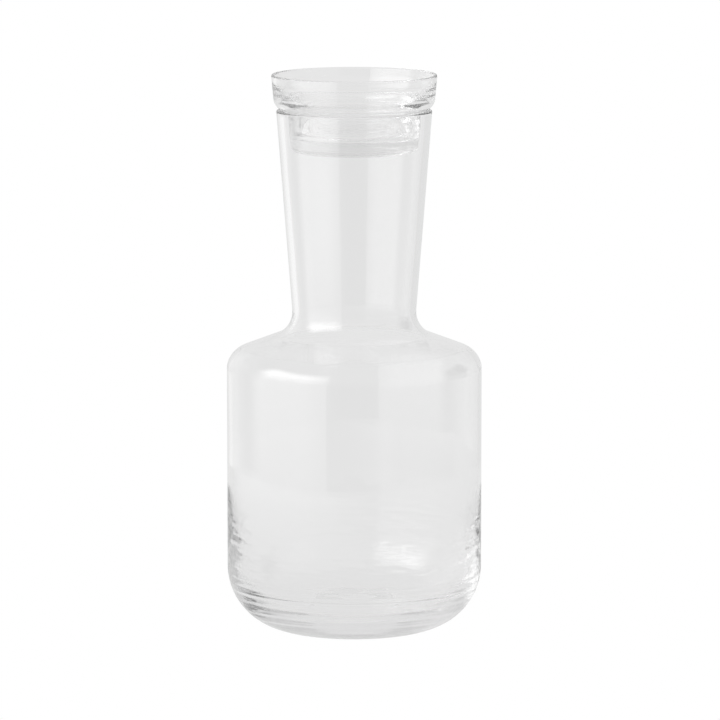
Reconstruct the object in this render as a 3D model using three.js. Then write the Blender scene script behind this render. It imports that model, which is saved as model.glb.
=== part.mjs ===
// Glass carafe with a tumbler that sits in its neck as the stopper.
// Millimetres, +Z up, origin at the centre of the foot on the surface that it stands on.
import * as THREE from "three";

// Carafe, outside
const BODY_RADIUS = 55;
const HEEL_RADIUS = 27.2;
const FOOT_RING_WIDTH = 7;
const PUSH_UP_HEIGHT = 1.4;
const BODY_HEIGHT = 113.6; // the straight wall ends here and the shoulder's round begins
const SHOULDER_RADIUS = 8.9;
const SHOULDER_SLOPE = 21.1; // degrees above the horizontal
const NECK_FILLET_RADIUS = 10.2;
const WAIST_RADIUS = 26.7;
const RIM_RADIUS = 33.4;
const CARAFE_HEIGHT = 225;

// Carafe, thickness of the glass
const BODY_WALL = 1.5;
const NECK_WALL = 2.8;
const BASE_THICKNESS = 7;
const FLOOR_DOME_HEIGHT = 1.4;
const FLOOR_RADIUS = 28.5;
const THICK_WALL_TOP = 68; // below this height the wall thickens towards the base
const HEEL_INSIDE_RADIUS = 22;

// Tumbler, outside
const CUP_OVERHANG = 1.3; // how far the cup stands out past the carafe's rim, at its step
const CUP_FLARE = 0.85; // how much wider the cup is at its rim than at its step
const CUP_WALL_HEIGHT = 10.3; // from the centre of the step's round up to the rim
const STEP_RADIUS = 5.4;
const STEP_FILLET_RADIUS = 1.5;
const PLUG_DEPTH = 17.8; // how far the plug hangs below the carafe's rim
const PLUG_CORNER_RADIUS = 3.8;
const PLUG_RING_WIDTH = 5;
const PLUG_PUSH_UP_HEIGHT = 0.8;

// Tumbler, thickness of the glass
const CUP_WALL = 1.6;
const PLUG_WALL = 3.2;
const TUMBLER_BASE = 6;
const CUP_STRAIGHT_DEPTH = 4; // straight inside wall below the rim, before it draws in to the plug
const DRAW_IN_DEPTH = 17.5; // height over which the inside narrows from the cup to the plug
const DRAW_IN_EASE = 5.8; // how gently that narrowing starts and ends
const CUP_FLOOR_CORNER_RADIUS = 4.5;

// Clearances
const SEAT_GAP = 0.3; // between the tumbler's step and the carafe's lip
const PLUG_CLEARANCE = 1.7; // between the plug and the inside of the neck, all round

// Fineness of the round surfaces
const SIDES = 48;
const ROUND_ACCURACY = 0.06; // how far a flat facet may lie inside a profile's round
const DRAW_IN_FACETS = 10; // along the curve inside the tumbler where the cup narrows to the plug

const UP = Math.PI / 2;
const DOWN = -Math.PI / 2;
const INWARD = Math.PI;

// A point of a profile: x is the distance from the axis and y the height.
const point = (radius, height) => new THREE.Vector2(radius, height);

// The point at an angle on a round.
function onRound(centre, radius, angle) {
  return point(centre.x + radius * Math.cos(angle), centre.y + radius * Math.sin(angle));
}

// Points along a round from one angle to another.
function round(centre, radius, from, to) {
  const largestStep = 2 * Math.acos(1 - ROUND_ACCURACY / radius);
  const steps = Math.ceil(Math.abs(to - from) / largestStep);
  const points = [];
  for (let i = 0; i <= steps; i++) points.push(onRound(centre, radius, from + ((to - from) * i) / steps));
  return points;
}

// A shallow dome from its edge to its top on the axis.
function dome(edgeRadius, edgeHeight, rise) {
  const sphereRadius = (edgeRadius ** 2 + rise ** 2) / (2 * rise);
  const centre = point(0, edgeHeight + rise - sphereRadius);
  return round(centre, sphereRadius, Math.acos(edgeRadius / sphereRadius), UP);
}

// The angle of the outward normal of a straight wall that runs up from one round to another.
// reach is how much further along that normal the second centre lies than the first.
function wallAngle(from, to, reach) {
  const run = to.clone().sub(from);
  return run.angle() - Math.acos(reach / run.length());
}

// Carafe: the rounds that shape it, shared by the outside and the inside
const slope = THREE.MathUtils.degToRad(SHOULDER_SLOPE);
const lipRadius = NECK_WALL / 2;
const heelCentre = point(BODY_RADIUS - HEEL_RADIUS, HEEL_RADIUS);
const shoulderCentre = point(BODY_RADIUS - SHOULDER_RADIUS, BODY_HEIGHT);
const lipCentre = point(RIM_RADIUS - lipRadius, CARAFE_HEIGHT - lipRadius);

// The shoulder's straight slope touches the shoulder's round and the neck's fillet,
// which sets the height of the waist.
const shoulderAngle = UP - slope;
const filletAcross = WAIST_RADIUS + NECK_FILLET_RADIUS;
const slopeRise = Math.sin(slope) * (shoulderCentre.x - filletAcross);
const waistHeight = BODY_HEIGHT + (SHOULDER_RADIUS + NECK_FILLET_RADIUS + slopeRise) / Math.cos(slope);
const filletCentre = point(filletAcross, waistHeight);
const neckAngle = wallAngle(filletCentre, lipCentre, -(NECK_FILLET_RADIUS + lipRadius));

function carafeOutside() {
  const ringInside = heelCentre.x - FOOT_RING_WIDTH;
  return [
    ...dome(ringInside, 0, PUSH_UP_HEIGHT).reverse(),
    ...round(heelCentre, HEEL_RADIUS, DOWN, 0),
    ...round(shoulderCentre, SHOULDER_RADIUS, 0, shoulderAngle),
    ...round(filletCentre, NECK_FILLET_RADIUS, shoulderAngle - INWARD, neckAngle - INWARD),
    ...round(lipCentre, lipRadius, neckAngle, neckAngle + INWARD),
  ];
}

// Inside the heel the wall thickens slowly on its way down, then turns in to the floor.
function heelInside() {
  const thickWallTop = point(BODY_RADIUS - BODY_WALL, THICK_WALL_TOP);
  const centre = point(FLOOR_RADIUS, BASE_THICKNESS + HEEL_INSIDE_RADIUS);
  const thickWallAngle = wallAngle(centre, thickWallTop, HEEL_INSIDE_RADIUS);
  return [thickWallTop, ...round(centre, HEEL_INSIDE_RADIUS, thickWallAngle, DOWN)];
}

function carafeInside() {
  const filletRadius = NECK_FILLET_RADIUS + NECK_WALL;
  const cornerRadius = SHOULDER_RADIUS - BODY_WALL;
  const slopeAngle = wallAngle(shoulderCentre, filletCentre, cornerRadius + filletRadius);
  return [
    ...round(filletCentre, filletRadius, neckAngle - INWARD, slopeAngle - INWARD),
    ...round(shoulderCentre, cornerRadius, slopeAngle, 0),
    ...heelInside(),
    ...dome(FLOOR_RADIUS, BASE_THICKNESS, FLOOR_DOME_HEIGHT).slice(1),
  ];
}

// Tumbler: its heights are measured from the top of the carafe's lip, where it rests
const neckLean = -neckAngle;
const plugLean = Math.max(neckLean, 0); // the plug never widens downwards, so it lifts straight out
const plugAngle = -plugLean;
const cupFootRadius = RIM_RADIUS + CUP_OVERHANG;
const cupLipRadius = CUP_WALL / 2;

// The step's round rests on the lip's round, a seat gap above it.
const stepAcross = cupFootRadius - STEP_RADIUS;
const stepHeight =
  Math.sqrt((STEP_RADIUS + lipRadius + SEAT_GAP) ** 2 - (lipCentre.x - stepAcross) ** 2) - lipRadius;
const stepCentre = point(stepAcross, stepHeight);
const cupRimHeight = stepHeight + CUP_WALL_HEIGHT;
const cupLipCentre = point(cupFootRadius + CUP_FLARE - cupLipRadius, cupRimHeight - cupLipRadius);
const cupAngle = wallAngle(stepCentre, cupLipCentre, STEP_RADIUS - cupLipRadius);

// Radius of the plug's outside at a height: it runs along the neck's inside wall, a clearance away.
function plugRadius(height) {
  const neckInside = onRound(point(lipCentre.x, -lipRadius), lipRadius, neckAngle + INWARD);
  return neckInside.x - PLUG_CLEARANCE + (height - neckInside.y) * Math.tan(plugLean);
}

function tumblerOutside() {
  // The fillet under the step touches the step's round and the plug's wall.
  const wallPoint = point(plugRadius(0), 0);
  const outward = point(Math.cos(plugAngle), Math.sin(plugAngle));
  const upward = point(-outward.y, outward.x);
  const offset = wallPoint.sub(stepCentre).dot(outward) + STEP_FILLET_RADIUS;
  const drop = Math.sqrt((STEP_RADIUS + STEP_FILLET_RADIUS) ** 2 - offset ** 2);
  const filletCorner = stepCentre.clone().addScaledVector(outward, offset).addScaledVector(upward, -drop);
  const filletAngle = filletCorner.clone().sub(stepCentre).angle() - 2 * Math.PI;

  // The plug's bottom corner touches the plug's wall and its flat foot ring.
  const cornerHeight = PLUG_CORNER_RADIUS - PLUG_DEPTH;
  const cornerCentre = point(plugRadius(cornerHeight) - PLUG_CORNER_RADIUS / Math.cos(plugLean), cornerHeight);
  return [
    ...dome(cornerCentre.x - PLUG_RING_WIDTH, -PLUG_DEPTH, PLUG_PUSH_UP_HEIGHT).reverse(),
    ...round(cornerCentre, PLUG_CORNER_RADIUS, DOWN, plugAngle),
    ...round(filletCorner, STEP_FILLET_RADIUS, plugAngle + INWARD, filletAngle + INWARD),
    ...round(stepCentre, STEP_RADIUS, filletAngle, cupAngle),
    ...round(cupLipCentre, cupLipRadius, cupAngle, cupAngle + INWARD),
  ];
}

function tumblerInside() {
  const lipInside = onRound(cupLipCentre, cupLipRadius, cupAngle + INWARD);
  const drawInTop = cupRimHeight - CUP_STRAIGHT_DEPTH;
  const drawInBottom = drawInTop - DRAW_IN_DEPTH;
  const topRadius = lipInside.x + (lipInside.y - drawInTop) * Math.tan(cupAngle);
  const bottomRadius = plugRadius(drawInBottom) - PLUG_WALL;
  const drawIn = new THREE.CubicBezierCurve(
    point(topRadius, drawInTop),
    point(topRadius, drawInTop - DRAW_IN_EASE),
    point(bottomRadius, drawInBottom + DRAW_IN_EASE),
    point(bottomRadius, drawInBottom),
  );

  const floorHeight = TUMBLER_BASE - PLUG_DEPTH;
  const cornerHeight = floorHeight + CUP_FLOOR_CORNER_RADIUS;
  const wallThickness = PLUG_WALL + CUP_FLOOR_CORNER_RADIUS;
  const cornerCentre = point(plugRadius(cornerHeight) - wallThickness / Math.cos(plugLean), cornerHeight);
  return [
    ...drawIn.getPoints(DRAW_IN_FACETS),
    ...round(cornerCentre, CUP_FLOOR_CORNER_RADIUS, plugAngle, DOWN),
    point(0, floorHeight),
  ];
}

// Clear colourless glass, the same for both pieces
function glass() {
  return new THREE.MeshStandardMaterial({
    color: 0xe8eeed,
    roughness: 0.03,
    metalness: 0,
    transparent: true,
    opacity: 0.35,
  });
}

// A turned piece: its closed profile goes once round the axis, which is then stood upright.
function turned(name, profile) {
  const mesh = new THREE.Mesh(new THREE.LatheGeometry(profile, SIDES), glass());
  mesh.name = name;
  mesh.rotation.x = UP;
  return mesh;
}

const carafe = turned("carafe", [...carafeOutside(), ...carafeInside()]);
const tumbler = turned("tumbler", [...tumblerOutside(), ...tumblerInside()]);
tumbler.position.z = CARAFE_HEIGHT;

const carafeWithTumbler = new THREE.Group();
carafeWithTumbler.add(carafe, tumbler);

export default carafeWithTumbler;
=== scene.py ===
import math

import bmesh
import bpy
from mathutils import Matrix, Vector
from mathutils.geometry import intersect_line_line


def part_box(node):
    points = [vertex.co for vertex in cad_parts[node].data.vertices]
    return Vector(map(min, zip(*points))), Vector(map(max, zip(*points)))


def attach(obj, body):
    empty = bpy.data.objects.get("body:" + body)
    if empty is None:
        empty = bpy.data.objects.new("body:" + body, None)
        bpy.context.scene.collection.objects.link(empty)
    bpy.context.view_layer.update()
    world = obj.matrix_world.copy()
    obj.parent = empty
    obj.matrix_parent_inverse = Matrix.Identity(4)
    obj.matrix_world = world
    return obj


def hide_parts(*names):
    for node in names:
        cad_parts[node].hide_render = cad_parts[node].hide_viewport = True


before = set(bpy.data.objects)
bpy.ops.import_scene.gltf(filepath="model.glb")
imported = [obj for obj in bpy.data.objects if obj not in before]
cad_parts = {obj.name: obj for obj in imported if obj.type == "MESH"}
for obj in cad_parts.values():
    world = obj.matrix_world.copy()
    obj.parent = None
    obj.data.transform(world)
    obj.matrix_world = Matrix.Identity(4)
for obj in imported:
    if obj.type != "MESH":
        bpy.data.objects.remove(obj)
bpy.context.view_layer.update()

# Carafe
# One vessel of clear soda-lime glass, blown in a turned mould: a thick base and heel, thin upright walls,
# a sloping shoulder, and a neck that opens towards a fire-polished lip. It stands on a flat ring round a
# shallow push-up.
body_radius, _, carafe_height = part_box("carafe")[1]

push_up_radius = 0.0206
push_up_height = 0.0014
push_up_round = 0.004
heel_round = 0.0272
shoulder_edge = 0.1197
shoulder_round = 0.0061
waist_radius = 0.02614
waist_edge = 0.13084
neck_round = 0.0076
rim_radius = 0.03352
lip_round = 0.0006

body_wall = 0.0015
neck_wall = 0.0028
shoulder_wall = 0.0018
shoulder_top_wall = 0.0023
shoulder_inside_round = 0.0064
shoulder_middle_share = 0.45
shoulder_middle_round = 0.006
neck_inside_round = 0.010
thick_wall_top = 0.054
thick_wall_round = 0.010
heel_wall = 0.0061
heel_inside_round = 0.0205
base_thickness = 0.007
floor_radius = 0.0285
floor_dome = 0.0014


def inwards(side):
    """The direction square to a side of the outline, into the glass."""
    return Matrix.Rotation(-math.pi / 2, 3, "Y") @ side.normalized()


def inside_corner(below, corner, above, wall_below, wall_above):
    """The inside of an outline's corner, where both of its sides are set in by the glass's thickness."""
    lower = inwards(corner - below) * wall_below
    upper = inwards(above - corner) * wall_above
    return intersect_line_line(below + lower, corner + lower, corner + upper, above + upper)[0]


foot_edge = Vector((body_radius, 0, 0))
shoulder_corner = Vector((body_radius, 0, shoulder_edge))
waist_corner = Vector((waist_radius, 0, waist_edge))
rim_corner = Vector((rim_radius, 0, carafe_height))
shoulder_inside = inside_corner(foot_edge, shoulder_corner, waist_corner, body_wall, body_wall)
waist_inside = inside_corner(shoulder_corner, waist_corner, rim_corner, shoulder_top_wall, neck_wall)
shoulder_middle = shoulder_corner.lerp(waist_corner, shoulder_middle_share)
shoulder_middle_inside = shoulder_middle + inwards(waist_corner - shoulder_corner) * shoulder_wall

# Each corner of the sharp outline: its distance from the axis, its height, how far back its round starts,
# and the facets in its round. WHOLE makes the round use the whole of both sides at the corner.
WHOLE = "whole"
carafe_corners = [
    (0, push_up_height, None, 0),
    (push_up_radius / 2, push_up_height, push_up_round, 8),
    (push_up_radius, 0, push_up_round, 8),
    (body_radius, 0, heel_round, 36),
    (body_radius, shoulder_edge, shoulder_round, 18),
    (waist_radius, waist_edge, neck_round, 20),
    (rim_radius, carafe_height, lip_round, 10),
    (rim_radius - neck_wall, carafe_height, lip_round, 10),
    (waist_inside.x, waist_inside.z, neck_inside_round, 20),
    (shoulder_middle_inside.x, shoulder_middle_inside.z, shoulder_middle_round, 8),
    (shoulder_inside.x, shoulder_inside.z, shoulder_inside_round, 18),
    (body_radius - body_wall, thick_wall_top, thick_wall_round, 8),
    (body_radius - heel_wall, base_thickness, heel_inside_round, 36),
    (floor_radius, base_thickness, None, 0),
    (floor_radius / 2, base_thickness + floor_dome, WHOLE, 8),
    (0, base_thickness + floor_dome, None, 0),
]


def edit_selection(choose):
    """Selects the vertices of the open mesh that choose() picks, and nothing else."""
    mesh = bpy.context.edit_object.data
    bpy.ops.mesh.select_all(action="DESELECT")
    shape = bmesh.from_edit_mesh(mesh)
    for vertex in shape.verts:
        vertex.select = choose(vertex)
    shape.select_flush_mode()
    bmesh.update_edit_mesh(mesh)


same_place = 0.000001


def turn_glass(name, corners, sides, longest_edge, ripples):
    """Draws a sharp outline by extruding one vertex, rounds its corners, and spins it into a closed piece of
    glass. longest_edge() gives the spacing of the rings at a place, and ripples are fine rings on part of
    the outline."""
    places = [Vector((radius, 0, height)) for radius, height, *_ in corners]
    bpy.ops.object.select_all(action="DESELECT")
    bpy.ops.mesh.primitive_plane_add(size=body_wall, location=places[0])
    piece = bpy.context.object
    piece.name = name
    bpy.ops.object.transform_apply(location=True, rotation=True, scale=True)
    bpy.ops.object.mode_set(mode="EDIT")
    bpy.ops.mesh.select_all(action="SELECT")
    bpy.ops.mesh.merge(type="CENTER")
    for here, there in zip(places, places[1:]):
        bpy.ops.mesh.extrude_region_move(TRANSFORM_OT_translate={"value": there - here})

    for place, (_, _, setback, facets) in zip(places, corners):
        if setback is None:
            continue
        edit_selection(lambda vertex: (vertex.co - place).length < same_place)
        if setback == WHOLE:
            amount = {"offset_type": "PERCENT", "offset_pct": 100}
        else:
            amount = {"offset_type": "OFFSET", "offset": setback}
        bpy.ops.mesh.bevel(segments=facets, profile=0.5, affect="VERTICES", **amount)
    bpy.ops.mesh.select_all(action="SELECT")
    bpy.ops.mesh.remove_doubles(threshold=same_place)

    def cuts_needed(edge):
        """How many cuts bring an edge of the outline down to the spacing of the rings at its middle."""
        middle = (edge.verts[0].co + edge.verts[1].co) / 2
        return int(edge.calc_length() / longest_edge(middle))

    shape = bmesh.from_edit_mesh(piece.data)
    for cuts in range(max(cuts_needed(edge) for edge in shape.edges), 0, -1):
        shape = bmesh.from_edit_mesh(piece.data)
        bpy.ops.mesh.select_all(action="DESELECT")
        for edge in shape.edges:
            edge.select_set(cuts_needed(edge) == cuts)
        bmesh.update_edit_mesh(piece.data)
        bpy.ops.mesh.subdivide(number_cuts=cuts)

    for choose, depth, seed in ripples:
        edit_selection(choose)
        bpy.ops.transform.vertex_random(offset=depth, seed=seed)
        bpy.ops.mesh.vertices_smooth(factor=0.5, repeat=2)

    bpy.ops.mesh.select_all(action="SELECT")
    bpy.ops.mesh.spin(steps=sides, angle=2 * math.pi, center=(0, 0, 0), axis=(0, 0, 1))
    bpy.ops.mesh.select_all(action="SELECT")
    bpy.ops.mesh.remove_doubles(threshold=same_place)
    bpy.ops.mesh.normals_make_consistent(inside=False)
    bpy.ops.object.mode_set(mode="OBJECT")
    bpy.ops.object.shade_smooth()
    return piece


carafe_sides = 160
plain_ring_spacing = 0.0025
wall_ring_spacing = 0.00045
heel_ring_spacing = 0.0009
ripple_bottom = 0.009
heel_ripple_top = 0.020
heel_ripple_depth = 0.0004
wall_ripple_top = 0.042
wall_ripple_depth = 0.00008
faint_ripple_top = 0.050
faint_ripple_depth = 0.00003


def inside_heel(place, top):
    """True on the inside of the heel and the thick lower wall, up to a height."""
    drop = max(heel_round - place.z, 0)
    outside = body_radius - heel_round + math.sqrt(max(heel_round**2 - drop**2, 0))
    return ripple_bottom < place.z < top and place.x < outside - body_wall / 2


def carafe_ring_spacing(place):
    """Rings lie close together where the glass ripples."""
    if inside_heel(place, heel_ripple_top):
        return heel_ring_spacing
    if inside_heel(place, thick_wall_top):
        return wall_ring_spacing
    return plain_ring_spacing


def ripples_below(top, depth, seed):
    """Ripples of one depth on the inside of the heel and the thick lower wall, up to a height."""
    return (lambda vertex: inside_heel(vertex.co, top)), depth, seed


carafe = turn_glass(
    "carafe_glass",
    carafe_corners,
    sides=carafe_sides,
    longest_edge=carafe_ring_spacing,
    ripples=[
        ripples_below(faint_ripple_top, faint_ripple_depth, seed=0),
        ripples_below(wall_ripple_top, wall_ripple_depth, seed=1),
        ripples_below(heel_ripple_top, heel_ripple_depth, seed=2),
    ],
)

# The ripples are smoothed away at the front and the back of the heel.
calm_width = 0.018
calm_passes = 12
bpy.ops.object.mode_set(mode="EDIT")
edit_selection(
    lambda vertex: abs(vertex.co.x) < calm_width
    and inside_heel(Vector((vertex.co.xy.length, 0, vertex.co.z)), heel_ripple_top)
)
bpy.ops.mesh.vertices_smooth(factor=0.5, repeat=calm_passes)
bpy.ops.object.mode_set(mode="OBJECT")

wave_fade = 0.004
inward_lean = 0.05


def unevenness(piece, name, bottom, top, lump, height):
    """Moves the inside wall of a turned piece in and out between two heights, by soft lumps of one size that
    fade out at both ends, as glass sets a little unevenly where no mould touches it."""
    bpy.ops.object.select_all(action="DESELECT")
    bpy.ops.object.empty_add()
    lumps = bpy.context.object
    lumps.scale = lump
    bpy.ops.object.select_all(action="DESELECT")
    piece.select_set(True)
    bpy.context.view_layer.objects.active = piece
    wall = piece.vertex_groups.new(name=name)
    for vertex in piece.data.vertices:
        outward = Vector((vertex.co.x, vertex.co.y, 0)).normalized()
        if vertex.normal.dot(outward) < -inward_lean:
            share = min((vertex.co.z - bottom) / wave_fade, (top - vertex.co.z) / wave_fade, 1)
            wall.add([vertex.index], max(share, 0), "REPLACE")
    clouds = bpy.data.textures.new(name, "CLOUDS")
    clouds.noise_scale = 1
    clouds.noise_depth = 1
    bpy.ops.object.modifier_add(type="DISPLACE")
    push = piece.modifiers[-1]
    push.texture = clouds
    push.texture_coords = "OBJECT"
    push.texture_coords_object = lumps
    push.vertex_group = wall.name
    push.strength = height
    bpy.context.view_layer.update()
    bpy.ops.object.modifier_apply(modifier=push.name)
    bpy.data.objects.remove(lumps)


unevenness(
    carafe,
    "wall_waves",
    bottom=base_thickness,
    top=carafe_height - neck_wall,
    lump=(0.03, 0.03, 0.04),
    height=0.0002,
)
unevenness(
    carafe,
    "heel_waves",
    bottom=0.021,
    top=0.050,
    lump=(0.008, 0.008, 0.003),
    height=0.0002,
)

glass_index = 1.52
glass_absorption = 2.5
smear_size = 0.014
smear_detail = 4
smear_start = 0.55
smear_full = 0.75
smear_roughness = 0.015
dimple_size = 0.012
dimple_detail = 1
dimple_depth = 0.000005


def clear_glass(name):
    """Polished clear glass with faint smears and the soft dimples that a mould leaves."""
    material = bpy.data.materials.new(name)
    material.use_nodes = True
    nodes = material.node_tree.nodes
    links = material.node_tree.links
    glass = nodes["Principled BSDF"]
    glass.inputs["Base Color"].default_value = (1, 1, 1, 1)
    glass.inputs["IOR"].default_value = glass_index
    glass.inputs["Transmission Weight"].default_value = 1
    place = nodes.new("ShaderNodeTexCoord")

    def patches(size, detail):
        """Soft patches of one size over the surface, from 0 to 1."""
        noise = nodes.new("ShaderNodeTexNoise")
        noise.inputs["Scale"].default_value = 1 / size
        noise.inputs["Detail"].default_value = detail
        links.new(place.outputs["Object"], noise.inputs["Vector"])
        return noise.outputs["Fac"]

    smears = nodes.new("ShaderNodeMapRange")
    smears.inputs["From Min"].default_value = smear_start
    smears.inputs["From Max"].default_value = smear_full
    smears.inputs["To Max"].default_value = smear_roughness
    links.new(patches(smear_size, smear_detail), smears.inputs["Value"])
    links.new(smears.outputs["Result"], glass.inputs["Roughness"])
    dimples = nodes.new("ShaderNodeBump")
    dimples.inputs["Strength"].default_value = 1
    dimples.inputs["Distance"].default_value = dimple_depth
    links.new(patches(dimple_size, dimple_detail), dimples.inputs["Height"])
    links.new(dimples.outputs["Normal"], glass.inputs["Normal"])
    tint = nodes.new("ShaderNodeVolumeAbsorption")
    tint.inputs["Color"].default_value = (0, 0, 0, 1)
    tint.inputs["Density"].default_value = glass_absorption
    links.new(tint.outputs["Volume"], nodes["Material Output"].inputs["Volume"])
    return material


carafe.data.materials.append(clear_glass("carafe_clear_glass"))
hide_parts("carafe")
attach(carafe, "carafe")

# Tumbler
# A small cup of the same glass that serves as the stopper: a short flared wall, a rounded step that rests on
# the carafe's lip, and a thick-based plug that hangs in the neck without touching it.
tumbler_low, tumbler_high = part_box("tumbler")
tumbler_foot = tumbler_low.z
tumbler_rim = tumbler_high.z

plug_foot_radius = 0.02742
plug_corner_round = 0.0035
plug_ring_inside = 0.0189
plug_push_up = 0.0008
plug_top_radius = 0.02879
step_inner_edge = 0.2247
step_fillet = 0.0012
step_radius = 0.03429
step_outer_edge = 0.2254
step_round = 0.00434
cup_rim_radius = 0.03565
cup_wall = 0.0016
cup_lip_round = 0.00079
draw_in_top = 0.2330
draw_in_top_radius = 0.0335
draw_in_bottom = 0.2213
draw_in_top_round = 0.0045
draw_in_bottom_round = 0.0036
plug_inside_radius = 0.0256
plug_inside_foot_radius = 0.0240
cup_floor = 0.2132
cup_floor_round = 0.0042
tumbler_sides = 256
tumbler_ring_spacing = 0.0012

tumbler_corners = [
    (0, tumbler_foot + plug_push_up, None, 0),
    (plug_ring_inside / 2, tumbler_foot + plug_push_up, WHOLE, 8),
    (plug_ring_inside, tumbler_foot, None, 0),
    (plug_foot_radius, tumbler_foot, plug_corner_round, 14),
    (plug_top_radius, step_inner_edge, step_fillet, 8),
    (step_radius, step_outer_edge, step_round, 18),
    (cup_rim_radius, tumbler_rim, cup_lip_round, 10),
    (cup_rim_radius - cup_wall, tumbler_rim, cup_lip_round, 10),
    (draw_in_top_radius, draw_in_top, draw_in_top_round, 14),
    (plug_inside_radius, draw_in_bottom, draw_in_bottom_round, 14),
    (plug_inside_foot_radius, cup_floor, cup_floor_round, 14),
    (0, cup_floor, None, 0),
]
tumbler = turn_glass(
    "tumbler_glass",
    tumbler_corners,
    sides=tumbler_sides,
    longest_edge=lambda place: tumbler_ring_spacing,
    ripples=[],
)
unevenness(
    tumbler,
    "cup_waves",
    bottom=cup_floor + cup_floor_round,
    top=tumbler_rim - cup_wall,
    lump=(0.016, 0.016, 0.016),
    height=0.00008,
)
tumbler.data.materials.append(clear_glass("tumbler_clear_glass"))
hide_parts("tumbler")
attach(tumbler, "tumbler")

# Table
# The round white light table that the carafe stands on. It glows with a painted shadow under the glass and a
# painted pool of light towards the diffuser, and is pure white to the camera.
surroundings = 0.80
pure_white = 1.0
table_radius = 0.45
table_gap = 0.0001
# painted shadow: the table glows dimmer under the glass, as if the carafe shaded it
shade = 0.77
shade_inside = 0.05
shade_outside = 0.09
diffuser_azimuth = math.radians(-62)
# painted pool of light: the table glows brighter towards the diffuser, seen only in the glass's mirrors
spill = 0.6
spill_from = 0.08
spill_to = 0.50


def calculate(tree, operation, *values):
    """A calculation in a material or in the room's light. Each value is a number or another node's output."""
    node = tree.nodes.new("ShaderNodeMath")
    node.operation = operation
    for socket, value in zip(node.inputs, values):
        if isinstance(value, bpy.types.NodeSocket):
            tree.links.new(value, socket)
        else:
            socket.default_value = value
    return node.outputs["Value"]


def ramp(tree, value, start, end, low=0, high=1):
    """Goes smoothly from low to high as a value goes from start to end."""
    node = tree.nodes.new("ShaderNodeMapRange")
    node.interpolation_type = "SMOOTHSTEP"
    for name, number in (("From Min", start), ("From Max", end), ("To Min", low), ("To Max", high)):
        node.inputs[name].default_value = number
    tree.links.new(value, node.inputs["Value"])
    return node.outputs["Result"]


def blend(tree, part, low, high):
    """Goes from low to high as a part goes from 0 to 1."""
    return calculate(tree, "MULTIPLY_ADD", part, calculate(tree, "SUBTRACT", high, low), low)


def studio_light(tree, mirrored, seen_through):
    """Pure white to the camera, one brightness mirrored in the glass, and another straight through it."""
    path = tree.nodes.new("ShaderNodeLightPath")
    mirrors = calculate(tree, "MINIMUM", path.outputs["Glossy Depth"], 1)
    through_glass = blend(tree, mirrors, seen_through, mirrored)
    return blend(tree, path.outputs["Is Camera Ray"], through_glass, pure_white)


def place_axes(tree, coordinates):
    """The three coordinates of a place on a piece, Object, or of a direction in the room, Generated."""
    place = tree.nodes.new("ShaderNodeTexCoord")
    axes = tree.nodes.new("ShaderNodeSeparateXYZ")
    tree.links.new(place.outputs[coordinates], axes.inputs["Vector"])
    return axes.outputs["X"], axes.outputs["Y"], axes.outputs["Z"]


def glowing(name):
    """A material that only shines. Returns it with the socket that takes its brightness."""
    material = bpy.data.materials.new(name)
    material.use_nodes = True
    tree = material.node_tree
    tree.nodes.remove(tree.nodes["Principled BSDF"])
    light = tree.nodes.new("ShaderNodeEmission")
    tree.links.new(light.outputs["Emission"], tree.nodes["Material Output"].inputs["Surface"])
    return material, light.inputs["Strength"]


bpy.ops.object.select_all(action="DESELECT")
bpy.ops.mesh.primitive_circle_add(
    vertices=128,
    radius=table_radius,
    fill_type="NGON",
    location=(0, 0, -table_gap),
)
table = bpy.context.object
table.name = "table"
bpy.ops.object.transform_apply(location=True, rotation=True, scale=True)

table_white, table_strength = glowing("white_light_table")
tree = table_white.node_tree
across, along, _ = place_axes(tree, "Object")
along_squared = calculate(tree, "MULTIPLY", along, along)
distance = calculate(tree, "SQRT", calculate(tree, "MULTIPLY_ADD", across, across, along_squared))
leftwards = calculate(tree, "MULTIPLY", along, -math.cos(diffuser_azimuth))
towards_diffuser = calculate(tree, "MULTIPLY_ADD", across, math.sin(diffuser_azimuth), leftwards)
# painted shadow under the glass, fading out to the surroundings' brightness
table_light = ramp(tree, distance, shade_inside, shade_outside, shade, surroundings)
# painted pool of light from the diffuser, added only to what the glass mirrors
diffuser_spill = ramp(tree, towards_diffuser, spill_from, spill_to, 0, spill)
spilt_light = calculate(tree, "ADD", table_light, diffuser_spill)
tree.links.new(studio_light(tree, spilt_light, table_light), table_strength)
table.data.materials.append(table_white)

# Studio light
# A white room with a tall curved diffuser close to the left of the table, hottest in its upper middle, some
# dimmer panels round the table, and a dark gap in front where the camera stands. The camera sees only white.
# Azimuth 0 is towards the camera and grows to the right.
diffuser_distance = 0.5
diffuser_bottom = -0.06
diffuser_top = 0.66
diffuser_left_edge = math.radians(-115)
diffuser_right_edge = math.radians(-23)
diffuser_brightness = 1.65
hot_share = 2.2

# Where a light fades in and out: the start and end of its first edge, then of its last edge. The diffuser's
# are in degrees of azimuth and in metres above the table.
diffuser_azimuths = (-106, -86, -48, -8)
diffuser_heights = (diffuser_bottom, 0.06, 0.58, diffuser_top)
hot_heights = (0.24, 0.36, 0.46, 0.62)

# The room's panels: azimuths and elevations in degrees, and brightness. They are a bright one at the left
# rear, a dimmer one at the right rear, a low one at the right, a dark card above that, and the camera's gap.
room_panels = [
    ((-165, -150, -135, -112), (-16, -12, 20, 30), 0.96),
    ((112, 140, 162, 178), (-16, -12, 20, 30), 0.76),
    ((26, 40, 96, 112), (-14, -11, -3, 2), 0.62),
    ((92, 100, 126, 134), (4, 9, 26, 34), 0.22),
    ((-28, -22, 12, 30), (-40, -35, 6, 14), 0.58),
]


def azimuth_of(tree, across, along):
    """The azimuth of a place or of a direction, in degrees."""
    towards_camera = calculate(tree, "MULTIPLY", along, -1)
    return calculate(tree, "DEGREES", calculate(tree, "ARCTAN2", across, towards_camera))


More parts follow.
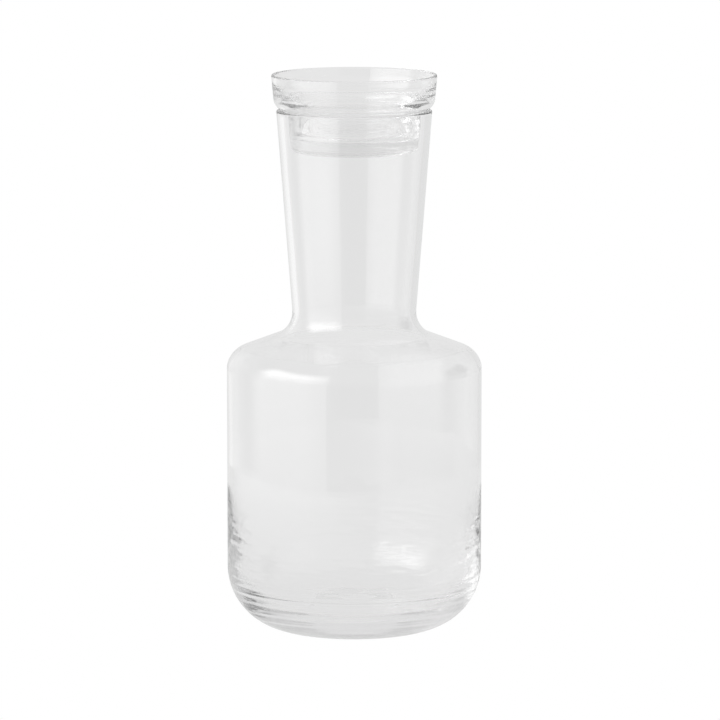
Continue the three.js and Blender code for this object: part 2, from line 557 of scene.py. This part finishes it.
def band(tree, value, edges):
    """Fades in from the first edge to the second, and out from the third to the fourth."""
    rise_start, rise_end, fall_start, fall_end = edges
    rise = ramp(tree, value, rise_start, rise_end)
    fall = ramp(tree, value, fall_end, fall_start)
    return calculate(tree, "MULTIPLY", rise, fall)


bpy.ops.object.select_all(action="DESELECT")
bpy.ops.mesh.primitive_cylinder_add(
    vertices=180,
    radius=diffuser_distance,
    depth=diffuser_top - diffuser_bottom,
    end_fill_type="NOTHING",
    location=(0, 0, (diffuser_top + diffuser_bottom) / 2),
)
diffuser = bpy.context.object
diffuser.name = "diffuser"
bpy.ops.object.transform_apply(location=True, rotation=True, scale=True)
bpy.ops.object.mode_set(mode="EDIT")
edit_selection(
    lambda vertex: not diffuser_left_edge < math.atan2(vertex.co.x, -vertex.co.y) < diffuser_right_edge
)
bpy.ops.mesh.delete(type="VERT")
bpy.ops.object.mode_set(mode="OBJECT")
diffuser.visible_camera = False

diffuser_white, diffuser_strength = glowing("white_diffuser")
tree = diffuser_white.node_tree
across, along, up = place_axes(tree, "Object")
azimuth = azimuth_of(tree, across, along)
window = calculate(tree, "MULTIPLY", band(tree, azimuth, diffuser_azimuths), band(tree, up, diffuser_heights))
hot = calculate(tree, "MULTIPLY_ADD", band(tree, up, hot_heights), hot_share, 1)
diffuser_light = blend(tree, calculate(tree, "MULTIPLY", window, hot), surroundings, diffuser_brightness)
tree.links.new(studio_light(tree, diffuser_light, surroundings), diffuser_strength)
diffuser.data.materials.append(diffuser_white)

world = bpy.data.worlds.new("white_room")
bpy.context.scene.world = world
world.use_nodes = True
tree = world.node_tree
across, along, up = place_axes(tree, "Generated")
azimuth = azimuth_of(tree, across, along)
elevation = calculate(tree, "DEGREES", calculate(tree, "ARCSINE", up))
room_light = surroundings
for azimuths, elevations, brightness in room_panels:
    window = calculate(tree, "MULTIPLY", band(tree, azimuth, azimuths), band(tree, elevation, elevations))
    room_light = blend(tree, window, room_light, brightness)
background = tree.nodes["Background"]
background.inputs["Color"].default_value = (1, 1, 1, 1)
tree.links.new(studio_light(tree, room_light, surroundings), background.inputs["Strength"])

# Camera
# A long lens a little above the table, as in the photograph. Light may cross the many faces of the thick
# glass before it reaches the lens.
camera_elevation = math.radians(8.3)
camera_distance = 2.2446
camera_middle = 0.11957
camera_aim = Vector((0.00246, 0, 0.11672))
glass_crossings = 96

bpy.ops.object.camera_add(
    location=(
        0,
        -camera_distance * math.cos(camera_elevation),
        camera_middle + camera_distance * math.sin(camera_elevation),
    )
)
camera = bpy.context.object
camera.name = "photo_camera"
camera.data.sensor_width = 36
camera.data.lens = 260
camera.data.clip_end = 50
camera.rotation_euler = (camera_aim - camera.location).to_track_quat("-Z", "Y").to_euler()

bpy.context.scene.camera = camera

scene = bpy.context.scene
scene.view_settings.view_transform = "Standard"
scene.cycles.max_bounces = glass_crossings
scene.cycles.transmission_bounces = glass_crossings
scene.cycles.glossy_bounces = glass_crossings
